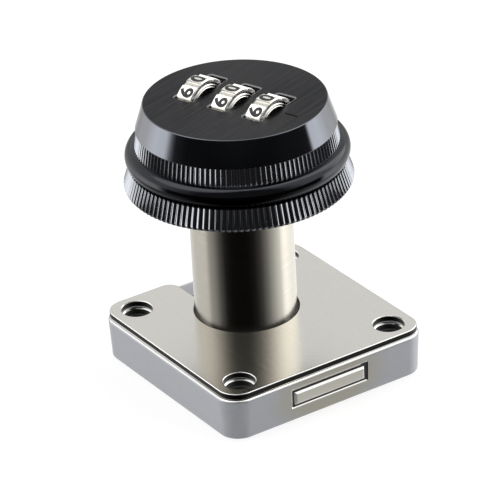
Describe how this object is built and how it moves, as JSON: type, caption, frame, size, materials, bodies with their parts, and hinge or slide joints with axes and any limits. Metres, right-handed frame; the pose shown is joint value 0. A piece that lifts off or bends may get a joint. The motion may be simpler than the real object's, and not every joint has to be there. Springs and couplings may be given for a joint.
{
  "type": "combination locker lock",
  "caption": "Keyless combination lock for a locker or cabinet door: fluted black knob with number dials, round barrel, flat metal case and a sliding dead bolt.",
  "frame": {"origin": "on the barrel and knob axis, at the back face of the case", "axes": "+Z along the barrel, out to the knob; +X the way the dead bolt is thrown"},
  "size_m": [0.0482, 0.0432, 0.0536],
  "materials": {
    "satin_nickel_case": "satin nickel plate on die-cast zinc",
    "brushed_nickel_plate": "finely brushed nickel-plated sheet",
    "bright_nickel_barrel": "bright nickel on turned metal",
    "nickel_bolt": "nickel-plated, lightly ground",
    "black_anodised": "black anodised, polished skirt and brushed top",
    "nickel_dial": "bright nickel with black figures",
    "steel_inside": "plain turned and stamped steel",
    "cast_inside": "as-cast light alloy",
    "brass_bush": "turned brass",
    "spring_steel": "blued spring strip",
    "zinc_screw": "zinc plated",
    "plastic_washer": "moulded low-friction plastic"
  },
  "bodies": {
    "housing": {"case": "satin_nickel_case", "top_plate": "brushed_nickel_plate", "barrel": "bright_nickel_barrel", "lower_bush": "brass_bush", "upper_bush": "brass_bush", "case_screws": "zinc_screw", "lower_collar": "black_anodised", "scroll_plate": "steel_inside", "scroll_screws": "zinc_screw"},
    "bolt": {"bolt": "nickel_bolt"},
    "knob": {"knob_cap": "black_anodised", "knob_base_plate": "steel_inside", "thrust_washer": "plastic_washer", "dial_frame": "cast_inside", "cap_screws": "zinc_screw", "frame_screws": "zinc_screw", "drive_shaft": "steel_inside", "detent_spring_1": "spring_steel", "detent_spring_2": "spring_steel", "detent_spring_3": "spring_steel"},
    "lug_spindle": {"lug_spindle": "steel_inside", "follower_pin": "steel_inside"},
    "dial_1": {"number_ring_1": "nickel_dial", "gate_sleeve_1": "brass_bush"},
    "dial_2": {"number_ring_2": "nickel_dial", "gate_sleeve_2": "brass_bush"},
    "dial_3": {"number_ring_3": "nickel_dial", "gate_sleeve_3": "brass_bush"}
  },
  "joints": [
    {"name": "knob_turn", "type": "hinge", "parent": "housing", "child": "knob", "pos_m": [0, 0, 0.04], "axis": [0, 0, 1], "range_deg": [0, 90]},
    {"name": "bolt_slide", "type": "slide", "parent": "housing", "child": "bolt", "axis": [1, 0, 0], "range_m": [0, 0.00707]},
    {"name": "lug_slide", "type": "slide", "parent": "knob", "child": "lug_spindle", "axis": [0.9426, 0.3338, 0], "range_m": [0, 0.0022]},
    {"name": "dial_1_spin", "type": "hinge", "parent": "knob", "child": "dial_1", "pos_m": [0, 0, 0.0474], "axis": [0.9426, 0.3338, 0], "continuous": true},
    {"name": "dial_2_spin", "type": "hinge", "parent": "knob", "child": "dial_2", "pos_m": [0, 0, 0.0474], "axis": [0.9426, 0.3338, 0], "continuous": true},
    {"name": "dial_3_spin", "type": "hinge", "parent": "knob", "child": "dial_3", "pos_m": [0, 0, 0.0474], "axis": [0.9426, 0.3338, 0], "continuous": true}
  ],
  "couplings": [
    {"joint": "bolt_slide", "follows": "knob_turn", "m_per_rad": 0.0045016},
    {"joint": "lug_slide", "follows": "knob_turn", "m_per_rad": 0.0014006}
  ]
}
